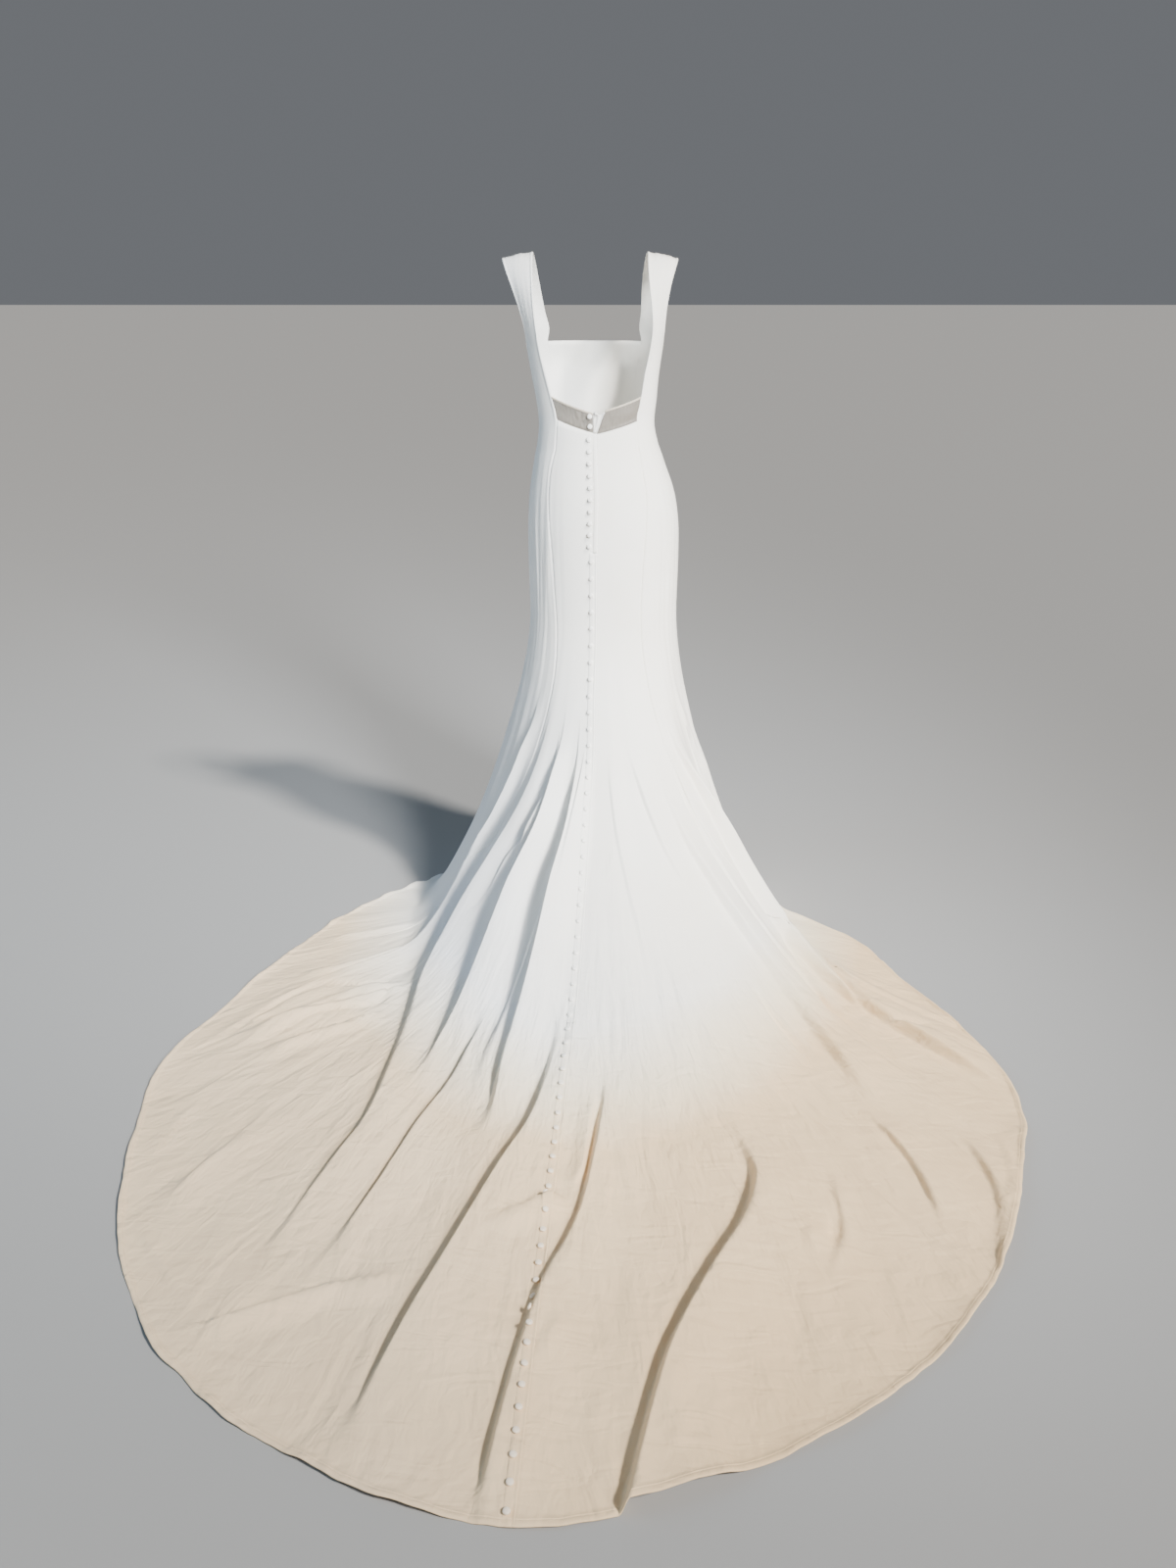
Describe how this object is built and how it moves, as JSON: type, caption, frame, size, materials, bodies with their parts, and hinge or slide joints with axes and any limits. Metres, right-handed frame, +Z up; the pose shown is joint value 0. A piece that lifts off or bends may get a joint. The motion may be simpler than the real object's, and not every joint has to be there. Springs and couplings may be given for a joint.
{
  "type": "wedding dress",
  "caption": "Fit-and-flare wedding dress with wide shoulder straps, a low open back with sheer insets, covered buttons down the centre back and a long round train.",
  "frame": {"origin": "on the centre line of the wearer's back, level with the undersides of the two shoulder straps at the shoulder seams, where the wearer holds the dress up", "axes": "+Z up along the standing wearer, -Y the way the wearer faces, +Y along the train, +X the wearer's left"},
  "size_m": [1.6696, 2.1763, 1.5],
  "materials": {
    "crepe": "matte",
    "mesh": "matte",
    "tape": "matte",
    "buttons": "satin"
  },
  "bodies": {
    "root": {"centre_front": "crepe", "side_front_left": "crepe", "side_front_right": "crepe", "side_back_left": "crepe", "side_back_right": "crepe", "centre_back_left": "crepe", "centre_back_right": "crepe", "illusion_left": "mesh", "illusion_right": "mesh", "illusion_binding_left": "tape", "illusion_binding_right": "tape", "zip": "tape", "zip_placket": "crepe", "button_strip_skirt": "buttons", "button_strip_train": "buttons", "button_01": "buttons", "button_02": "buttons", "button_03": "buttons", "button_04": "buttons", "button_05": "buttons", "button_06": "buttons", "button_07": "buttons", "button_08": "buttons", "button_09": "buttons", "button_10": "buttons", "button_11": "buttons", "button_12": "buttons"}
  },
  "joints": []
}
